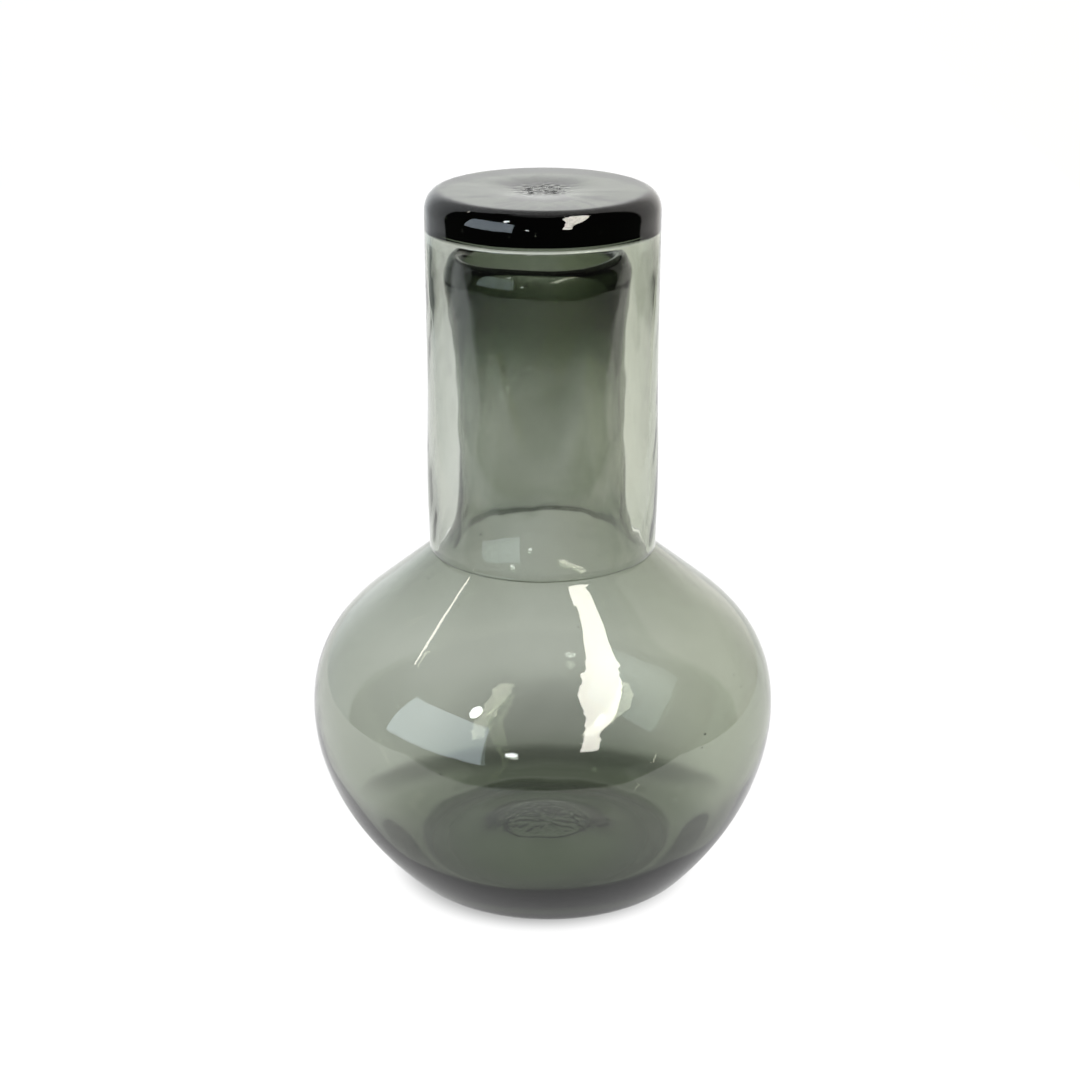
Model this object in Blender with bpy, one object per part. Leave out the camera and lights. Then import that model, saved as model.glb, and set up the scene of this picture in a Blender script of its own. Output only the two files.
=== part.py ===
"""Night carafe of blown glass, with its drinking tumbler turned over the neck.

Metres, +Z up. The origin is the centre of the carafe's foot, on the surface it stands on.
Both pieces are turned about Z from an outline of (radius, height) points in millimetres, which
starts and ends on the axis and runs down the outer side: the carafe's from its inner floor over
the lip to the underside, and the upturned tumbler's from its base down over the rim and back up.
"""
import math

import bpy
from mathutils import Vector
from mathutils.geometry import interpolate_bezier

MM = 0.001
SEGMENTS = 48            # facets round each turned piece
CLEARANCE = 0.3          # gap between the tumbler's rim and the shoulder that carries it

# Carafe: outer wall, from the lip down
LIP_R = 27.2
LIP_Z = 189.5            # height of the lip's widest radius
CARAFE_TOP = 196.0
NECK_R = 24.8            # waist of the neck
NECK_Z = 148.0
SHOULDER_TOP = (31.5, 106.6)      # the shoulder is a cone between these two points
SHOULDER_FOOT = (52.75, 89.3)
BELLY_R = 70.5           # widest radius
BELLY_Z = 55.0
HEEL = (46.8, 4.1)       # where the belly turns into the rounded heel
HEEL_ANGLE = math.radians(46.5)
# Reach of each direction into the curve beside it
NECK_REACH = 30.0
SHOULDER_REACH_UP = 7.0
SHOULDER_REACH_DOWN = 12.6
BELLY_REACH_UP = 17.3
BELLY_REACH_DOWN = 20.0
HEEL_REACH = 18.0
# Carafe: base
FOOT_INNER_R = 32.5      # the flat foot ring ends here and the kick-up starts
KICK_UP = 6.5            # height of the hollow under the base
FLOOR_Z = 14.0           # top of the dome inside
TROUGH = (36.0, 7.5)     # lowest point of the inside, round the dome
TROUGH_REACH = 5.0
# Wall thickness against height of the outer wall, from the heel to the lip
CARAFE_WALL = ((0.0, 6.5), (4.1, 6.5), (8.0, 5.2), (12.0, 3.8), (16.0, 2.8), (20.0, 2.4),
               (30.0, 2.1), (42.0, 1.7), (55.0, 1.5), (90.0, 1.7), (107.0, 2.6), (120.0, 2.2),
               (130.0, 1.6), (150.0, 1.5), (160.0, 2.0), (168.0, 3.2), (178.0, 6.2),
               (190.0, 6.8))

# Tumbler, upside down: its base is at the top
TUMBLER_TOP = 214.2
TUMBLER_R = 34.0
TUMBLER_WAIST = (33.9, 163.0)
TUMBLER_SWELL = (34.4, 126.0)
TUMBLER_WALL = 2.0
BASE_CORNER = (4.6, 6.0)      # width and height of the rounding round the base
BASE_THICK = 10.0
BASE_RING_R = 20.0       # the flat base ring ends here and its dished centre starts
BASE_DISH = 0.7          # depth of the dished centre
INNER_CORNER = 2.0       # radius of the rounding inside the base


def arc(centre, radii, first, last, steps):
    """Points after the first angle, up to and with the last, on an arc of a circle or an ellipse."""
    angles = [first + (last - first) * i / steps for i in range(1, steps + 1)]
    return [Vector((centre[0] + radii[0] * math.cos(a), centre[1] + radii[1] * math.sin(a)))
            for a in angles]


def curve(start, leave, arrive, end, steps):
    """Points after start, up to and with end, on a cubic curve through two handles."""
    handles = [Vector(p) for p in (start, leave, arrive, end)]
    return interpolate_bezier(*handles, steps + 1)[1:]


def sway(start, end, steps, leave=0.5, arrive=0.5):
    """A wall that is upright at both ends; leave and arrive are parts of its height."""
    height = end[1] - start[1]
    return curve(start, (start[0], start[1] + leave * height), (end[0], end[1] - arrive * height),
                 end, steps)


def dome(start, end, steps):
    """A floor that is level at both ends."""
    middle = (start[0] + end[0]) / 2
    return curve(start, (middle, start[1]), (middle, end[1]), end, steps)


def wall_at(height):
    """The carafe's wall thickness at a height of its outer wall."""
    for (z0, t0), (z1, t1) in zip(CARAFE_WALL, CARAFE_WALL[1:]):
        if height <= z1:
            return t0 + (t1 - t0) * (height - z0) / (z1 - z0)
    return CARAFE_WALL[-1][1]


def offset_inwards(points):
    """The inner wall: each point but the two ends, moved in along the outline's normal."""
    inner = []
    for before, point, after in zip(points, points[1:], points[2:]):
        run = (after - before).normalized()
        inner.append(point + Vector((run.y, -run.x)) * wall_at(point.y))
    return inner


def carafe_outer(heel_run):
    """Outer wall from the side of the lip down to the heel."""
    slope = (Vector(SHOULDER_FOOT) - Vector(SHOULDER_TOP)).normalized()
    lip, neck, belly = (LIP_R, LIP_Z), (NECK_R, NECK_Z), (BELLY_R, BELLY_Z)
    points = [Vector(lip)]
    points += sway(lip, neck, 4, leave=0.15, arrive=0.7)
    points += curve(neck, (NECK_R, NECK_Z - NECK_REACH),
                    Vector(SHOULDER_TOP) - slope * SHOULDER_REACH_UP, SHOULDER_TOP, 6)
    points += [Vector(SHOULDER_FOOT)]
    points += curve(SHOULDER_FOOT, Vector(SHOULDER_FOOT) + slope * SHOULDER_REACH_DOWN,
                    (BELLY_R, BELLY_Z + BELLY_REACH_UP), belly, 6)
    points += curve(belly, (BELLY_R, BELLY_Z - BELLY_REACH_DOWN),
                    Vector(HEEL) + heel_run * HEEL_REACH, HEEL, 7)
    return points


def carafe_outline():
    """From the middle of the inner floor, over the lip, to the middle of the underside."""
    heel_run = Vector((math.cos(HEEL_ANGLE), math.sin(HEEL_ANGLE)))
    outer = carafe_outer(heel_run)
    inner = offset_inwards(outer)[::-1]
    lip_inner_r = inner[-1].x
    lip_middle = ((LIP_R + lip_inner_r) / 2, LIP_Z)
    lip_radii = ((LIP_R - lip_inner_r) / 2, CARAFE_TOP - LIP_Z)
    heel_r = HEEL[1] / (1 - math.cos(HEEL_ANGLE))
    heel_centre = (HEEL[0] - heel_r * math.sin(HEEL_ANGLE), heel_r)
    points = [Vector((0, FLOOR_Z))]
    points += dome(points[0], TROUGH, 5)
    points += curve(TROUGH, (TROUGH[0] + TROUGH_REACH, TROUGH[1]),
                    inner[0] - heel_run * TROUGH_REACH, inner[0], 3)
    points += inner[1:]
    points += arc(lip_middle, lip_radii, math.pi, 0, 6)
    points += outer[1:]
    points += arc(heel_centre, (heel_r, heel_r), HEEL_ANGLE - math.pi / 2, -math.pi / 2, 3)
    points += [Vector((FOOT_INNER_R, 0))]
    points += dome(points[-1], (0, KICK_UP), 4)
    return points


def rim_centre():
    """Centre of the tumbler's round rim, resting the clearance above the shoulder."""
    rim_r = TUMBLER_WALL / 2
    radius = TUMBLER_R - rim_r
    fall = (SHOULDER_TOP[1] - SHOULDER_FOOT[1]) / (SHOULDER_FOOT[0] - SHOULDER_TOP[0])
    shoulder_z = SHOULDER_TOP[1] - fall * (radius - SHOULDER_TOP[0])
    return Vector((radius, shoulder_z + (rim_r + CLEARANCE) * math.hypot(1, fall)))


def tumbler_outline():
    """From the middle of the base, which is uppermost, round the rim to the inside of the base."""
    rim = rim_centre()
    rim_r = TUMBLER_WALL / 2
    wall = Vector((TUMBLER_WALL, 0))
    waist, swell = Vector(TUMBLER_WAIST), Vector(TUMBLER_SWELL)
    corner = (TUMBLER_R - BASE_CORNER[0], TUMBLER_TOP - BASE_CORNER[1])
    ceiling = TUMBLER_TOP - BASE_THICK
    inner_corner = (TUMBLER_R - TUMBLER_WALL - INNER_CORNER, ceiling - INNER_CORNER)
    points = [Vector((0, TUMBLER_TOP - BASE_DISH))]
    points += dome(points[0], (BASE_RING_R, TUMBLER_TOP), 3)
    points += [Vector((corner[0], TUMBLER_TOP))]
    points += arc(corner, BASE_CORNER, math.pi / 2, 0, 5)
    points += sway(points[-1], waist, 2)
    points += sway(waist, swell, 2)
    points += sway(swell, (TUMBLER_R, rim.y), 2)
    points += arc(rim, (rim_r, rim_r), 0, -math.pi, 4)
    points += sway(points[-1], swell - wall, 2)
    points += sway(swell - wall, waist - wall, 2)
    points += sway(waist - wall, (inner_corner[0] + INNER_CORNER, inner_corner[1]), 2)
    points += arc(inner_corner, (INNER_CORNER, INNER_CORNER), 0, math.pi / 2, 3)
    points += [Vector((0, ceiling))]
    return points


def smoked_glass(name, colour):
    """Smoky grey-green glass with a fire-polished surface."""
    material = bpy.data.materials.new(name)
    material.use_nodes = True
    shader = material.node_tree.nodes["Principled BSDF"]
    shader.inputs["Base Color"].default_value = (*colour, 1)
    shader.inputs["Roughness"].default_value = 0.03
    shader.inputs["Metallic"].default_value = 0
    shader.inputs["IOR"].default_value = 1.5
    shader.inputs["Transmission Weight"].default_value = 1
    return material


def turned(name, outline, material, parent):
    """A closed body turned about Z from its outline by a Screw modifier."""
    mesh = bpy.data.meshes.new(name)
    vertices = [(point.x * MM, 0, point.y * MM) for point in outline]
    edges = [(i, i + 1) for i in range(len(outline) - 1)]
    mesh.from_pydata(vertices, edges, [])
    mesh.materials.append(material)
    body = bpy.data.objects.new(name, mesh)
    bpy.context.collection.objects.link(body)
    body.parent = parent
    screw = body.modifiers.new("Turn", "SCREW")
    screw.axis = "Z"
    screw.angle = math.tau
    screw.steps = SEGMENTS
    screw.render_steps = SEGMENTS
    screw.use_merge_vertices = True
    screw.merge_threshold = 0.00005
    screw.use_smooth_shade = True


def build():
    for old in list(bpy.data.objects):
        bpy.data.objects.remove(old)
    axis = bpy.data.objects.new("standing_axis", None)
    bpy.context.collection.objects.link(axis)
    turned("carafe", carafe_outline(), smoked_glass("carafe_glass", (0.60, 0.64, 0.57)), axis)
    turned("tumbler", tumbler_outline(), smoked_glass("tumbler_glass", (0.62, 0.66, 0.60)), axis)


build()
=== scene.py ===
"""Looks of the night carafe and its tumbler: blown smoky glass, on a white table.

Lengths are in millimetres until a mesh is made. Both pieces are turned about Z, then given what
glass-blowing leaves behind: soft waves in both faces of the wall, pontil marks and small seeds.
"""
import math

import bmesh
import bpy
import numpy as np
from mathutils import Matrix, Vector


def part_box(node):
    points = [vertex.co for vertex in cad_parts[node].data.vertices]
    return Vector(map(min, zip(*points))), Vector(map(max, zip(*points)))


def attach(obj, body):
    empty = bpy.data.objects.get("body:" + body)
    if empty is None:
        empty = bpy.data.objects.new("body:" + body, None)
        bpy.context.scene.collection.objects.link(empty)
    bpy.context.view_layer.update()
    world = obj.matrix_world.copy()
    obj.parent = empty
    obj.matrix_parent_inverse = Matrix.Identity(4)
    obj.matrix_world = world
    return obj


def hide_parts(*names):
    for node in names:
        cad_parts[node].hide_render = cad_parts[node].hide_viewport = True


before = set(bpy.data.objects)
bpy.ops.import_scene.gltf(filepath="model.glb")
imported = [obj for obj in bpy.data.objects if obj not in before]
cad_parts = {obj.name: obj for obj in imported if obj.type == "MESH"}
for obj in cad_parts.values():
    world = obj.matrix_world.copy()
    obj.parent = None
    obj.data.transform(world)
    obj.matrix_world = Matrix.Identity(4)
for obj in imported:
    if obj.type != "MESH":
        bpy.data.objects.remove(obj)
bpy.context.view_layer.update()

MM = 0.001
ROUND = 250              # points round each piece

# Heights and radii that the frame gives
CARAFE_LOW, CARAFE_HIGH = (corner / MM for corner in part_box("carafe"))
TUMBLER_LOW, TUMBLER_HIGH = (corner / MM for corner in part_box("tumbler"))
FOOT_Z = CARAFE_LOW.z
BELLY_R = CARAFE_HIGH.x
CARAFE_TOP = CARAFE_HIGH.z
TUMBLER_TOP = TUMBLER_HIGH.z
TUMBLER_SWELL_R = TUMBLER_HIGH.x

# Carafe
LIP = (27.2, 189.5)
NECK = (24.8, 148.0)
SHOULDER_TOP = (31.5, 106.6)
SHOULDER_FOOT = (52.75, 89.3)
BELLY = (BELLY_R, 55.0)
HEEL = (46.8, 4.1)
HEEL_ANGLE = math.radians(46.5)
FOOT_INNER_R = 32.5
KICK_UP = 6.5
FLOOR_Z = 14.0
TROUGH = (36.0, 7.5)
CARAFE_WALL = ((0.0, 6.5), (4.1, 6.5), (8.0, 5.2), (12.0, 3.8), (16.0, 2.8), (20.0, 2.4),
               (30.0, 2.1), (42.0, 1.7), (55.0, 1.5), (90.0, 1.7), (107.0, 2.6), (120.0, 2.2),
               (130.0, 1.6), (150.0, 1.5), (160.0, 2.0), (168.0, 3.2), (178.0, 6.2),
               (190.0, 6.8))

# Tumbler
TUMBLER_R = 34.0
WAIST = (33.9, 163.0)
SWELL = (TUMBLER_SWELL_R, 126.0)
TUMBLER_WALL = 2.0
BASE_CORNER = (4.6, 6.0)
BASE_THICK = 10.0
BASE_RING_R = 20.0
BASE_DISH = 0.7
INNER_CORNER = (2.0, 2.0)
PRESSED_DEPTH = 0.35     # how far each face of the wall is pressed in, at the front and back
PRESSED_SPREAD = 28.0    # over this height above and below the swell

# Marks of the blowing
CARAFE_SCAR_R = 12.0
CARAFE_SCAR = (-0.6, 4.0)
CARAFE_SCAR_HEIGHTS = (0.2, 1.0)       # of its lumps and of the ring round them
TUMBLER_SCAR_R = 7.5
TUMBLER_SCAR_HEIGHTS = (0.16, 0.04)
LIP_UNEVEN = 0.45        # height of the lip's waves
LIP_DEPTH = 7.0          # how far below the top they reach
DRIP_DEPTH = 0.9         # thickness of the tongue of glass in the neck
DRIP_LOW, DRIP_HIGH = 136, 186
DRIP_SOFT = 0.9          # softness of its sides
NECK_LEAN = 1.6          # to the left, at the lip
FOOT_LEAN = 1.8          # to the right, at the foot
FOOT_LEAN_TOP = 45.0     # the lower lean ends at this height

# Seeds, the air bubbles: how many, and the range of their heights and of their radii
CARAFE_SEEDS = 50
CARAFE_SEED_Z, CARAFE_SEED_R = (14, 176), (0.15, 0.38)
BASE_SEEDS = 40          # in the tumbler's base
BASE_SEED_Z, BASE_SEED_R = (205.5, 210), (0.2, 0.5)
WALL_SEEDS = 25          # in the tumbler's wall
WALL_SEED_Z, WALL_SEED_R = (115, 198), (0.15, 0.3)


# ---------------------------------------------------------------- outlines

def curve(start, leave, arrive, end, steps):
    """Points after start, up to and with end, on a cubic curve through two handles."""
    p0, p1, p2, p3 = (np.array(p, float) for p in (start, leave, arrive, end))
    t = (np.arange(1, steps + 1) / steps)[:, None]
    return (1 - t) ** 3 * p0 + 3 * (1 - t) ** 2 * t * p1 + 3 * (1 - t) * t ** 2 * p2 + t ** 3 * p3


def straight(start, end, steps):
    t = (np.arange(1, steps + 1) / steps)[:, None]
    return np.array(start, float) * (1 - t) + np.array(end, float) * t


def arc(centre, radii, first, last, steps):
    angle = first + (last - first) * np.arange(1, steps + 1) / steps
    return np.stack([centre[0] + radii[0] * np.cos(angle), centre[1] + radii[1] * np.sin(angle)], 1)


def sway(start, end, steps, leave=0.5, arrive=0.5):
    """A wall that is upright at both ends; leave and arrive are parts of its height."""
    height = end[1] - start[1]
    return curve(start, (start[0], start[1] + leave * height), (end[0], end[1] - arrive * height),
                 end, steps)


def dome(start, end, steps):
    """A floor that is level at both ends."""
    middle = (start[0] + end[0]) / 2
    return curve(start, (middle, start[1]), (middle, end[1]), end, steps)


def carafe_outer(heel_run):
    """Outer wall from the side of the lip down to the heel."""
    top, foot = np.array(SHOULDER_TOP), np.array(SHOULDER_FOOT)
    slope = (foot - top) / np.linalg.norm(foot - top)
    return np.concatenate([
        [LIP],
        sway(LIP, NECK, 18, leave=0.15, arrive=0.7),
        curve(NECK, (NECK[0], NECK[1] - 30), top - slope * 7, top, 18),
        straight(top, foot, 8),
        curve(foot, foot + slope * 12.6, (BELLY[0], BELLY[1] + 17.3), BELLY, 18),
        curve(BELLY, (BELLY[0], BELLY[1] - 20), np.array(HEEL) + heel_run * 18, HEEL, 54)])


def offset_inwards(points):
    """The inner wall: the outer one moved in along its normal, with its ends left out."""
    run = points[2:] - points[:-2]
    run /= np.linalg.norm(run, axis=1)[:, None]
    heights, walls = zip(*CARAFE_WALL)
    wall = np.interp(points[:, 1], heights, walls)
    soft = np.hanning(13)
    wall = np.convolve(np.pad(wall, 6, mode="edge"), soft / soft.sum(), mode="valid")
    return points[1:-1] + np.stack([run[:, 1], -run[:, 0]], 1) * wall[1:-1, None]


def underside():
    """The kicked-up base, with its points closest together where the pontil mark is."""
    fine = dome((FOOT_INNER_R, FOOT_Z), (0, KICK_UP), 168)
    marked = np.abs(fine[:, 0] - CARAFE_SCAR_R) < CARAFE_SCAR[1] + 1.0
    return fine[marked | (np.arange(1, 169) % 6 == 0)]


def carafe_outline():
    """(radius, height) from the middle of the inner floor to the middle underneath, and a mask
    that is 1 on the inside."""
    heel_run = np.array((math.cos(HEEL_ANGLE), math.sin(HEEL_ANGLE)))
    outer = carafe_outer(heel_run)
    inner = offset_inwards(outer)[::-1]
    lip_middle = ((LIP[0] + inner[-1][0]) / 2, LIP[1])
    lip_radii = ((LIP[0] - inner[-1][0]) / 2, CARAFE_TOP - LIP[1])
    heel_r = HEEL[1] / (1 - math.cos(HEEL_ANGLE))
    heel_centre = (HEEL[0] - heel_r * math.sin(HEEL_ANGLE), heel_r)
    inside = [
        [(0, FLOOR_Z)],
        dome((0, FLOOR_Z), TROUGH, 24),
        curve(TROUGH, (TROUGH[0] + 5, TROUGH[1]), inner[0] - heel_run * 5, inner[0], 8),
        inner[1:-1]]
    outside = [
        arc(lip_middle, lip_radii, math.pi, 0, 16),
        outer[1:],
        arc(heel_centre, (heel_r, heel_r), HEEL_ANGLE - math.pi / 2, -math.pi / 2, 10),
        straight((heel_centre[0], FOOT_Z), (FOOT_INNER_R, FOOT_Z), 4),
        underside()]
    inside, outside = np.concatenate(inside), np.concatenate(outside)
    return np.concatenate([inside, outside]), np.r_[np.ones(len(inside)), np.zeros(len(outside))]


def tumbler_outline():
    """(radius, height) from the middle of the base, round the rim, to the inside of the base."""
    rim_r = TUMBLER_WALL / 2
    rim = (TUMBLER_R - rim_r, TUMBLER_LOW.z + rim_r)
    corner = (TUMBLER_R - BASE_CORNER[0], TUMBLER_TOP - BASE_CORNER[1])
    inner_r = TUMBLER_R - TUMBLER_WALL
    ceiling = TUMBLER_TOP - BASE_THICK
    inner_corner = (inner_r - INNER_CORNER[0], ceiling - INNER_CORNER[1])
    waist_in, swell_in = (WAIST[0] - TUMBLER_WALL, WAIST[1]), (SWELL[0] - TUMBLER_WALL, SWELL[1])
    dish = (0, TUMBLER_TOP - BASE_DISH)
    outside = [
        [dish],
        dome(dish, (BASE_RING_R, TUMBLER_TOP), 36),
        straight((BASE_RING_R, TUMBLER_TOP), (corner[0], TUMBLER_TOP), 8),
        arc(corner, BASE_CORNER, math.pi / 2, 0, 14),
        sway((TUMBLER_R, corner[1]), WAIST, 22),
        sway(WAIST, SWELL, 16),
        sway(SWELL, (TUMBLER_R, rim[1]), 12),
        arc(rim, (rim_r, rim_r), 0, -math.pi / 2, 6)]
    inside = [
        arc(rim, (rim_r, rim_r), -math.pi / 2, -math.pi, 6),
        sway((inner_r, rim[1]), swell_in, 12),
        sway(swell_in, waist_in, 16),
        sway(waist_in, (inner_r, inner_corner[1]), 22),
        arc(inner_corner, INNER_CORNER, 0, math.pi / 2, 18),
        straight((inner_corner[0], ceiling), (0, ceiling), 14)]
    outside, inside = np.concatenate(outside), np.concatenate(inside)
    return np.concatenate([outside, inside]), np.r_[np.zeros(len(outside)), np.ones(len(inside))]


# ---------------------------------------------------------------- turned meshes

def waves(rng, angle, height, turns, length, amount, count):
    """A sum of soft waves round and up a wall, worth about amount at its highest."""
    total = np.zeros(np.broadcast(angle, height).shape)
    for _ in range(count):
        k = rng.integers(turns[0], turns[1] + 1)
        q = math.tau / rng.uniform(*length) * rng.choice((-1, 1))
        total += np.cos(k * angle + q * height + rng.uniform(0, math.tau))
    return total * amount / math.sqrt(count)


def scar(rng, x, y, radius, lump, ridge):
    """A pontil mark: lumpy glass inside a broken ring; lump and ridge are their heights."""
    far, turn = np.hypot(x, y), np.arctan2(y, x)
    lumps = np.zeros_like(x)
    for _ in range(40):
        way, size = rng.uniform(0, math.tau), rng.uniform(1.1, 3.6)
        across = (x * math.cos(way) + y * math.sin(way)) * math.tau / size
        lumps += np.cos(across + rng.uniform(0, math.tau)) * size / 3.6
    fade = 1 / (1 + (far / radius) ** 8)
    edge = radius + 0.5 * np.cos(3 * turn + 1) + 0.3 * np.cos(5 * turn)
    broken = 0.6 + 0.4 * np.cos(2 * turn + 0.7) * np.cos(5 * turn + 2)
    ring = np.exp(-((far - edge) / 0.45) ** 2) * broken
    return lump * lumps / 6 * fade + ridge * ring


def drip(angle, height):
    """A tongue of thicker glass that ran down the front of the neck, as a share of its depth."""
    across = np.abs(np.cos(angle)) * NECK[0]
    half = np.interp(height, (139, 146, DRIP_HIGH), (4.5, 6.5, 16))
    sides = 1 / (1 + np.exp((across - half) / DRIP_SOFT))
    ends = np.clip((height - DRIP_LOW) / 8, 0, 1) * np.clip((DRIP_HIGH - height) / 10, 0, 1)
    return np.where(np.sin(angle) < 0, sides * ends, 0)


def bubble():
    """Points and faces of a ball of radius 1 whose faces look inwards, at the air in it."""
    form = bmesh.new()
    bmesh.ops.create_icosphere(form, subdivisions=2, radius=1)
    form.verts.index_update()
    points = np.array([tuple(corner.co) for corner in form.verts])
    faces = np.array([[corner.index for corner in reversed(face.verts)] for face in form.faces])
    form.free()
    return points, faces


def turned(name, outline, inner, seed, extra, lean, seeds):
    """A closed mesh turned from its outline, with waves in both faces and seeds in the wall.

    extra(rng, angle, height, x, y, inside) moves the faces by what only this piece has, lean is
    how far it leans at a height, and seeds are the (x, y, z, radius) of its air bubbles.
    """
    rng = np.random.default_rng(seed)
    run = np.gradient(outline, axis=0)
    run /= np.linalg.norm(run, axis=1)[:, None]
    normal = np.stack([-run[:, 1], run[:, 0]], 1)
    angle = np.arange(ROUND) / ROUND * math.tau
    a, z = np.meshgrid(angle, outline[1:-1, 1], indexing="ij")
    r = np.broadcast_to(outline[1:-1, 0], a.shape)
    along = np.r_[0, np.cumsum(np.linalg.norm(np.diff(outline, axis=0), axis=1))][1:-1]
    s = np.broadcast_to(along, a.shape)
    inside = np.broadcast_to(inner[1:-1] > 0.5, a.shape)
    soft_out = waves(rng, a, z, (2, 5), (60, 160), 0.03, 6)
    soft_out += waves(rng, a, s, (7, 16), (18, 60), 0.008, 8)
    soft_in = waves(rng, a, z, (2, 6), (50, 140), 0.06, 6)
    soft_in += waves(rng, a, s, (5, 12), (30, 70), 0.02, 8)
    above_base = np.clip((z - 35) / 25, 0, 1)
    soft_in += waves(rng, a, s, (14, 36), (9, 30), 0.014, 18) * above_base
    off_axis, off_foot = np.clip(r / 14, 0, 1), np.clip((z - FOOT_Z) / 4, 0, 1)
    ease = off_axis ** 2 * off_foot
    move = np.where(inside, soft_in, soft_out) * ease
    move = move + extra(rng, a, z, r * np.cos(a), r * np.sin(a), inside)
    rr = r + normal[1:-1, 0] * move
    zz = z + normal[1:-1, 1] * move
    rings = np.stack([rr * np.cos(a) + lean(z), rr * np.sin(a), zz], 2)
    count = rings.shape[1]
    poles = outline[[0, -1], 1]
    vertices = [rings.reshape(-1, 3), np.stack([lean(poles), np.zeros(2), poles], 1)]
    first, last = ROUND * count, ROUND * count + 1
    faces = []
    for i in range(ROUND):
        here, there = i * count, (i + 1) % ROUND * count
        faces.append((first, here, there))
        faces += [(here + j, here + j + 1, there + j + 1, there + j) for j in range(count - 1)]
        faces.append((last, there + count - 1, here + count - 1))
    ball, sides = bubble()
    for number, (x, y, height, radius) in enumerate(seeds):
        vertices.append(ball * radius + (x + lean(height), y, height))
        faces += (sides + last + 1 + number * len(ball)).tolist()
    mesh = bpy.data.meshes.new(name)
    mesh.from_pydata((np.concatenate(vertices) * MM).tolist(), [], faces)
    mesh.shade_smooth()
    mesh.validate()
    piece = bpy.data.objects.new(name, mesh)
    bpy.context.collection.objects.link(piece)
    return piece


def carafe_extra(rng, a, z, x, y, inside):
    """The drip in the neck, an uneven lip and the pontil mark underneath."""
    near_top = np.clip((z - CARAFE_TOP + LIP_DEPTH) / LIP_DEPTH, 0, 1)
    lip = near_top * waves(rng, a, z, (1, 4), (300, 600), LIP_UNEVEN, 5)
    mark = scar(rng, x - CARAFE_SCAR[0], y - CARAFE_SCAR[1], CARAFE_SCAR_R, *CARAFE_SCAR_HEIGHTS)
    under = ~inside & (z < KICK_UP + 1) & (np.hypot(x, y) < FOOT_INNER_R)
    return lip + np.where(inside, DRIP_DEPTH * drip(a, z), 0) + np.where(under, mark, 0)


def carafe_lean(z):
    """The neck leans a little to the left and the foot is a little to the right."""
    foot = np.clip(1 - z / FOOT_LEAN_TOP, 0, 1)
    neck = np.clip((z - SHOULDER_TOP[1]) / (CARAFE_TOP - SHOULDER_TOP[1]), 0, 1)
    return FOOT_LEAN * foot ** 1.5 - NECK_LEAN * neck ** 1.5


def tumbler_extra(rng, a, z, x, y, inside):
    """The wall is pressed thinner at the front and back, and the base has a pontil mark."""
    pressed = PRESSED_DEPTH * np.sin(a) ** 2 * np.exp(-((z - SWELL[1]) / PRESSED_SPREAD) ** 2)
    mark = scar(rng, x, y, TUMBLER_SCAR_R, *TUMBLER_SCAR_HEIGHTS)
    return np.where(~inside & (z > TUMBLER_TOP - 2), mark, 0) - pressed


def carafe_seeds():
    """(x, y, z, radius) of the air bubbles, in the middle of the wall."""
    rng = np.random.default_rng(31)
    outer = carafe_outer(np.array((math.cos(HEEL_ANGLE), math.sin(HEEL_ANGLE))))[::-1]
    z = rng.uniform(*CARAFE_SEED_Z, CARAFE_SEEDS)
    wall = np.interp(z, *zip(*CARAFE_WALL))
    r = np.interp(z, outer[:, 1], outer[:, 0]) - wall * 0.5
    a = rng.uniform(0, math.tau, CARAFE_SEEDS)
    size = rng.uniform(*CARAFE_SEED_R, CARAFE_SEEDS)
    return np.stack([r * np.cos(a), r * np.sin(a), z, size], 1)


def tumbler_seeds():
    """(x, y, z, radius) of the bubbles, close under the thick base's face and in the wall."""
    rng = np.random.default_rng(32)
    z = np.r_[rng.uniform(*BASE_SEED_Z, BASE_SEEDS), rng.uniform(*WALL_SEED_Z, WALL_SEEDS)]
    under = np.r_[rng.uniform(0.6, 1.6, BASE_SEEDS), np.full(WALL_SEEDS, TUMBLER_WALL / 2)]
    rounding = np.clip(z - 208.2, 0, 9) ** 2 * 0.12       # keeps them under the rounded edge
    r = TUMBLER_R - under - rounding
    a = rng.uniform(0, math.tau, BASE_SEEDS + WALL_SEEDS)
    size = np.r_[rng.uniform(*BASE_SEED_R, BASE_SEEDS), rng.uniform(*WALL_SEED_R, WALL_SEEDS)]
    return np.stack([r * np.cos(a), r * np.sin(a), z, size], 1)


# ---------------------------------------------------------------- shader nodes

def wire(tree, kind, *values, **settings):
    """A new node: its settings, then its inputs in order, each a number or a socket."""
    node = tree.nodes.new(kind)
    for name, value in settings.items():
        setattr(node, name, value)
    for socket, value in zip(node.inputs, values):
        if isinstance(value, bpy.types.NodeSocket):
            tree.links.new(value, socket)
        elif value is not None:
            socket.default_value = value
    return node.outputs[0]


def ramp(tree, value, start, end, low, high):
    """Smooth change from low to high between two values."""
    return wire(tree, "ShaderNodeMapRange", value, start, end, low, high,
                interpolation_type="SMOOTHSTEP")


def calc(tree, operation, *values):
    """The result of a Math node."""
    return wire(tree, "ShaderNodeMath", *values, operation=operation)


def axes(tree, output):
    """The x, y and z of a kind of texture coordinate."""
    place = tree.nodes.new("ShaderNodeTexCoord")
    split = tree.nodes.new("ShaderNodeSeparateXYZ")
    tree.links.new(place.outputs[output], split.inputs[0])
    return split.outputs


def ring_round(tree, x, y, centre, radii):
    """Distance from a centre, 1 on an ellipse with these radii."""
    across = calc(tree, "DIVIDE", calc(tree, "SUBTRACT", x, centre[0]), radii[0])
    along = calc(tree, "DIVIDE", calc(tree, "SUBTRACT", y, centre[1]), radii[1])
    squares = calc(tree, "ADD", calc(tree, "MULTIPLY", across, across),
                   calc(tree, "MULTIPLY", along, along))
    return calc(tree, "SQRT", squares)


# ---------------------------------------------------------------- glass

SMOKE = (0.637, 0.667, 0.607)


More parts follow.
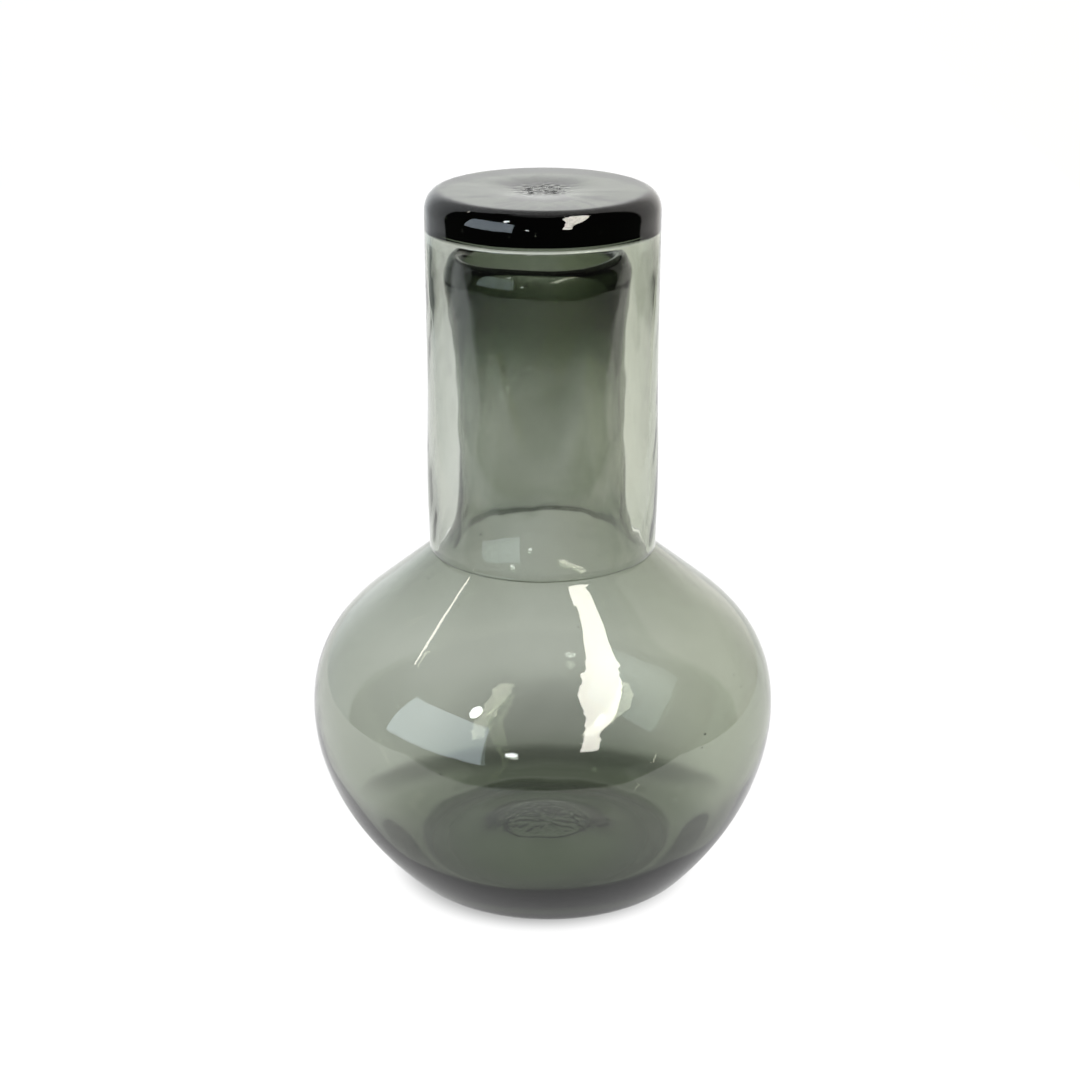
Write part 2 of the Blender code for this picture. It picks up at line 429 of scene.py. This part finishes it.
def glass(name, density, centre, radius, low, high, roughness):
    """Smoky glass: fire-polished clear faces, and a tint that grows with depth.

    The pontil mark has a grainy, broken surface: it is within radius of centre, from low to high.
    """
    material = bpy.data.materials.new(name)
    material.use_nodes = True
    tree = material.node_tree
    shader = tree.nodes["Principled BSDF"]
    shader.inputs["Base Color"].default_value = (1, 1, 1, 1)
    shader.inputs["IOR"].default_value = 1.5
    shader.inputs["Transmission Weight"].default_value = 1
    x, y, z = axes(tree, "Object")
    spot = ramp(tree, ring_round(tree, x, y, centre, (radius, radius)), 0.7, 1.1, 1.0, 0.0)
    level = calc(tree, "MULTIPLY", calc(tree, "GREATER_THAN", z, low),
                 calc(tree, "LESS_THAN", z, high))
    grain = tree.nodes.new("ShaderNodeTexNoise")
    grain.inputs["Scale"].default_value = 1100
    grain.inputs["Detail"].default_value = 2
    place = tree.nodes.new("ShaderNodeTexCoord")
    tree.links.new(place.outputs["Object"], grain.inputs["Vector"])
    broken = ramp(tree, grain.outputs["Fac"], 0.42, 0.62, 0.0, roughness)
    rough = calc(tree, "MULTIPLY", calc(tree, "MULTIPLY", spot, level), broken)
    tree.links.new(rough, shader.inputs["Roughness"])
    depth = tree.nodes.new("ShaderNodeVolumeAbsorption")
    depth.inputs["Color"].default_value = (*SMOKE, 1)
    depth.inputs["Density"].default_value = density
    tree.links.new(depth.outputs["Volume"], tree.nodes["Material Output"].inputs["Volume"])
    return material


# ---------------------------------------------------------------- stage

# In metres. The stage is arranged for the picture: what the glass mirrors isn't what is seen.
TABLE_FRONT = -0.200     # the table's front edge
TABLE_BACK = 4.0
TABLE_WIDTH = 0.800
WHITE = 1.05
TABLE_WHITE = WHITE - 0.04
MIRROR_MIDDLE = Vector((0, 0, 0.1))    # the lamps stand round this point
MIRROR_REACH = 3.0       # distance of the lamps that only the glass mirrors
COOL = (0.95, 0.98, 1.0)               # colour of the small lamps


def mirrored(tree):
    """1 for a ray that the glass has mirrored, 0 for one seen directly or through it."""
    path = tree.nodes.new("ShaderNodeLightPath")
    return calc(tree, "GREATER_THAN", path.outputs["Glossy Depth"], 0.5)


def through(tree):
    """1 for a ray that has passed through the glass, 0 for one that has not."""
    path = tree.nodes.new("ShaderNodeLightPath")
    return calc(tree, "GREATER_THAN", path.outputs["Transmission Depth"], 0.5)


def table():
    """A white table top with a painted soft contact shadow of the carafe, longest behind it, and
    painted green light under its base.

    A painted dark shadow arc behind the carafe and a painted warm light at its right are seen only
    through the glass.
    """
    mesh = bpy.data.meshes.new("table")
    half = TABLE_WIDTH / 2
    corners = [(-half, TABLE_FRONT, 0), (half, TABLE_FRONT, 0),
               (half, TABLE_BACK, 0), (-half, TABLE_BACK, 0)]
    mesh.from_pydata(corners, [], [(0, 1, 2, 3)])
    material = bpy.data.materials.new("table_white")
    material.use_nodes = True
    tree = material.node_tree
    shader = tree.nodes["Principled BSDF"]
    x, y, _ = axes(tree, "Object")
    far = ring_round(tree, x, y, (0, 0), (1, 1))
    # Painted light under the kicked-up base, painted shadow round the foot, and a longer painted
    # shadow behind it
    under = ramp(tree, far, 0.020, 0.034, 0.72, 0.35)
    painted_contact_shadow = ramp(tree, far, 0.037, 0.050, under, 1.0)
    behind = ramp(tree, ring_round(tree, x, y, (0.006, 0.07), (0.055, 0.095)), 0.35, 1.0, 0.6, 1.0)
    # The painted shadow arc is this far from the axis, and fades in behind it
    off_ring = calc(tree, "ABSOLUTE", calc(tree, "SUBTRACT", far, 0.066))
    deep = calc(tree, "SUBTRACT", 1.0, calc(tree, "MULTIPLY", through(tree),
                                            ramp(tree, y, 0.02, 0.05, 0.0, 0.5)))
    painted_shadow_arc = ramp(tree, off_ring, 0.002, 0.011, deep, 1.0)
    seen = calc(tree, "MULTIPLY", calc(tree, "MULTIPLY", painted_contact_shadow, behind), painted_shadow_arc)
    # Painted shade round the foot, reaching further in what the glass mirrors
    painted_shade_in_mirror = ramp(tree, far, 0.060, 0.095, 0.62, 1.0)
    shade = wire(tree, "ShaderNodeMix", mirrored(tree), None, seen, painted_shade_in_mirror, data_type="FLOAT")
    # Painted green light under the base, as if it had come through the glass
    painted_green_light = tree.nodes.new("ShaderNodeMix")
    painted_green_light.data_type = "RGBA"
    tree.links.new(ramp(tree, far, 0.030, 0.040, 0.0, 1.0), painted_green_light.inputs["Factor"])
    painted_green_light.inputs["A"].default_value = (0.87, 1.0, 0.79, 1)
    painted_green_light.inputs["B"].default_value = (1, 1, 1, 1)
    # Painted warm light on the right, seen only through the glass
    warm = tree.nodes.new("ShaderNodeMix")
    warm.data_type = "RGBA"
    right = calc(tree, "MULTIPLY", ramp(tree, x, 0.0, 0.09, 0.0, 1.0), through(tree))
    tree.links.new(right, warm.inputs["Factor"])
    tree.links.new(painted_green_light.outputs["Result"], warm.inputs["A"])
    warm.inputs["B"].default_value = (0.94, 0.95, 0.84, 1)
    tree.links.new(warm.outputs["Result"], shader.inputs["Emission Color"])
    shader.inputs["Base Color"].default_value = (0.08, 0.08, 0.08, 1)
    shader.inputs["Roughness"].default_value = 0.7
    shader.inputs["Specular IOR Level"].default_value = 0.0
    tree.links.new(calc(tree, "MULTIPLY", shade, TABLE_WHITE), shader.inputs["Emission Strength"])
    mesh.materials.append(material)
    top = bpy.data.objects.new("table", mesh)
    bpy.context.collection.objects.link(top)


def sky():
    """White all round; the glass mirrors a room that is dark in front and bright behind.

    In the mirrored room floor, side, back and overhead are the bright parts, and a dark shelf
    crosses the sides.
    """
    world = bpy.data.worlds.new("studio")
    bpy.context.scene.world = world
    world.use_nodes = True
    tree = world.node_tree
    x, y, z = axes(tree, "Generated")
    rise = calc(tree, "MULTIPLY", calc(tree, "POWER", calc(tree, "ABSOLUTE", x), 8.0), 0.12)
    floor = ramp(tree, calc(tree, "SUBTRACT", z, rise), -0.338, -0.326, 1.0, 0.03)
    around = calc(tree, "DIVIDE", y, ring_round(tree, x, y, (0, 0), (1, 1)))
    off_shelf = calc(tree, "ABSOLUTE", calc(tree, "ADD", z, 0.247))
    shelf = ramp(tree, off_shelf, 0.010, 0.026, 0.12, 1.0)
    side = calc(tree, "MULTIPLY", ramp(tree, around, 0.27, 0.33, 0.0, 0.8), shelf)
    back = ramp(tree, y, 0.7, 0.95, 0.0, 0.5)
    overhead = ramp(tree, z, 0.93, 0.985, 0.0, 0.4)
    behind = calc(tree, "ADD", side, back)
    room = calc(tree, "MAXIMUM", calc(tree, "MAXIMUM", floor, behind), overhead)
    level = wire(tree, "ShaderNodeMix", mirrored(tree), None, WHITE, room, data_type="FLOAT")
    background = tree.nodes["Background"]
    tree.links.new(level, background.inputs["Strength"])
    warm = ramp(tree, x, -0.6, 0.6, 0.0, 1.0)
    tint = tree.nodes.new("ShaderNodeMix")
    tint.data_type = "RGBA"
    tree.links.new(warm, tint.inputs["Factor"])
    tint.inputs["A"].default_value = (0.94, 0.98, 1.0, 1)
    tint.inputs["B"].default_value = (1.0, 0.97, 0.93, 1)
    tree.links.new(tint.outputs["Result"], background.inputs["Color"])


def towards(azimuth, elevation):
    """A point in a direction: azimuth from the front towards the right, elevation up, degrees."""
    a, e = math.radians(azimuth), math.radians(elevation)
    way = Vector((math.sin(a) * math.cos(e), -math.cos(a) * math.cos(e), math.sin(e)))
    return MIRROR_MIDDLE + way * MIRROR_REACH


def lamp(name, points, faces, colour, strength, soft=False, side="both"):
    """A lamp or a window that only mirrored rays see: those mirrored in front, behind or both."""
    mesh = bpy.data.meshes.new(name)
    centre = sum(points, Vector()) / len(points)
    mesh.from_pydata([point - centre for point in points], [], faces)
    material = bpy.data.materials.new(name)
    material.use_nodes = True
    tree = material.node_tree
    tree.nodes.remove(tree.nodes["Principled BSDF"])
    glow = tree.nodes.new("ShaderNodeEmission")
    glow.inputs["Color"].default_value = (*colour, 1)
    glow.inputs["Strength"].default_value = strength
    clear = tree.nodes.new("ShaderNodeBsdfTransparent")
    amount = mirrored(tree)
    if side == "front":
        amount = calc(tree, "SUBTRACT", amount, through(tree))
    elif side == "behind":
        amount = calc(tree, "MULTIPLY", amount, through(tree))
    if soft:
        place = tree.nodes.new("ShaderNodeTexCoord")
        size = max((point - centre).length for point in points)
        spread = wire(tree, "ShaderNodeVectorMath", place.outputs["Object"], (1 / size,) * 3,
                      operation="MULTIPLY")
        fade = wire(tree, "ShaderNodeTexGradient", spread, gradient_type="QUADRATIC_SPHERE")
        amount = calc(tree, "MULTIPLY", amount, fade)
    mix = wire(tree, "ShaderNodeMixShader", amount, clear.outputs[0], glow.outputs[0])
    tree.links.new(mix, tree.nodes["Material Output"].inputs["Surface"])
    material.cycles.emission_sampling = "NONE"
    mesh.materials.append(material)
    card = bpy.data.objects.new(name, mesh)
    bpy.context.collection.objects.link(card)
    card.location = centre
    card.visible_camera = False
    card.visible_diffuse = False
    card.visible_shadow = False


def disc(name, azimuth, elevation, size, colour, strength, soft=False):
    """A round or oval lamp; size is its half width and half height in degrees."""
    corners = 24
    middle = towards(azimuth, elevation)
    facing = (middle - MIRROR_MIDDLE).normalized()
    right = facing.cross(Vector((0, 0, 1))).normalized()
    up = right.cross(facing)
    wide, tall = (math.tan(math.radians(half)) * MIRROR_REACH for half in size)
    points = [middle + right * math.cos(t) * wide + up * math.sin(t) * tall
              for t in np.arange(corners) / corners * math.tau]
    lamp(name, points, [tuple(range(corners))], colour, strength, soft)


def band(name, left, right, colour, strength, rough, side="both"):
    """A strip between two ragged edges, each a row of (azimuth, elevation) points."""
    rng = np.random.default_rng(5)
    parts = 10           # of each edge, between one point and the next
    edges = []
    for edge in (np.array(left, float), np.array(right, float)):
        corners = np.arange(len(edge))
        t = np.linspace(0, len(edge) - 1, parts * (len(edge) - 1) + 1)
        fine = np.stack([np.interp(t, corners, edge[:, i]) for i in (0, 1)], 1)
        edges.append(fine + rng.uniform(-rough, rough, fine.shape))
    points = [towards(*place) for pair in zip(*edges) for place in pair]
    faces = [(2 * i, 2 * i + 1, 2 * i + 3, 2 * i + 2) for i in range(len(edges[0]) - 1)]
    lamp(name, points, faces, colour, strength, side=side)


def lamps():
    """A window with a glare on the left, warm strips at both sides and two small lamps."""
    window = [towards(-76, 33), towards(-80, 1), towards(-28.8, -3), towards(-28, 30)]
    lamp("window", window, [(0, 1, 2, 3)], (0.78, 0.9, 1.0), 3.6)
    disc("window_glare", -50, 12, (15, 15), (0.88, 0.95, 1.0), 14, soft=True)
    band("warm_strip",
         ((18.5, 10.5), (18, 13), (22, 28), (25.5, 41), (27, 58), (42, 68.5), (63, 71), (66, 71.5),
          (60, 73.5), (56, 75.5)),
         ((26, 10.5), (28, 12.5), (30, 27), (37, 32), (50, 45.5), (57, 51), (66, 56.5),
          (83, 63.5), (79, 67.5), (67, 72.5)),
         (1.0, 0.96, 0.87), 16, 0.8, "front")
    band("warm_patch",
         ((17, 26), (29, 37), (49, 49), (62, 58)),
         ((27, 25), (40, 35), (58, 46), (69, 55)),
         (1.0, 0.97, 0.86), 12, 1.0, "behind")
    band("warm_slit",
         ((-98, 43.4), (-104, 46.6), (-108, 49.0), (-107.5, 50.6)),
         ((-98.6, 42.9), (-104.9, 45.8), (-109.2, 47.8), (-108.6, 50.2)),
         (1.0, 0.95, 0.85), 12, 0.25)
    disc("lamp_high", -40, 41, (2.5, 5.2), COOL, 22)
    disc("lamp_low", -14.5, 8.2, (3.0, 1.9), COOL, 22)


def camera():
    """In front of the carafe, looking down at its shoulder."""
    data = bpy.data.cameras.new("camera")
    data.lens = 75.1
    data.sensor_width = 36
    eye = bpy.data.objects.new("camera", data)
    bpy.context.collection.objects.link(eye)
    aim = Vector((-0.0008, 0, 0.107))
    pitch, distance = math.radians(20.67), 0.68
    eye.location = aim + Vector((0, -math.cos(pitch), math.sin(pitch))) * distance
    eye.rotation_euler = (math.pi / 2 - pitch, 0, 0)
    bpy.context.scene.camera = eye


def render_look():
    scene = bpy.context.scene
    scene.view_settings.view_transform = "Standard"
    scene.view_settings.look = "None"
    scene.cycles.max_bounces = 32
    scene.cycles.transmission_bounces = 32
    scene.cycles.glossy_bounces = 16
    scene.cycles.diffuse_bounces = 4
    scene.cycles.transparent_max_bounces = 16


# ---------------------------------------------------------------- assembly

outline, inner = carafe_outline()
carafe = turned("carafe_glass_body", outline, inner, 11, carafe_extra, carafe_lean,
                carafe_seeds())
carafe.data.materials.append(glass("smoky_glass_carafe", 675, [c * MM for c in CARAFE_SCAR],
                                   CARAFE_SCAR_R * MM, -0.001, 0.010, 0.02))
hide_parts("carafe")
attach(carafe, "carafe")

outline, inner = tumbler_outline()
tumbler = turned("tumbler_glass_body", outline, inner, 23, tumbler_extra, np.zeros_like,
                 tumbler_seeds())
tumbler.data.materials.append(glass("smoky_glass_tumbler", 400, (0, 0), TUMBLER_SCAR_R * MM,
                                    0.210, 0.220, 0.3))
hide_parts("tumbler")
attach(tumbler, "tumbler")

table()
sky()
lamps()
camera()
render_look()
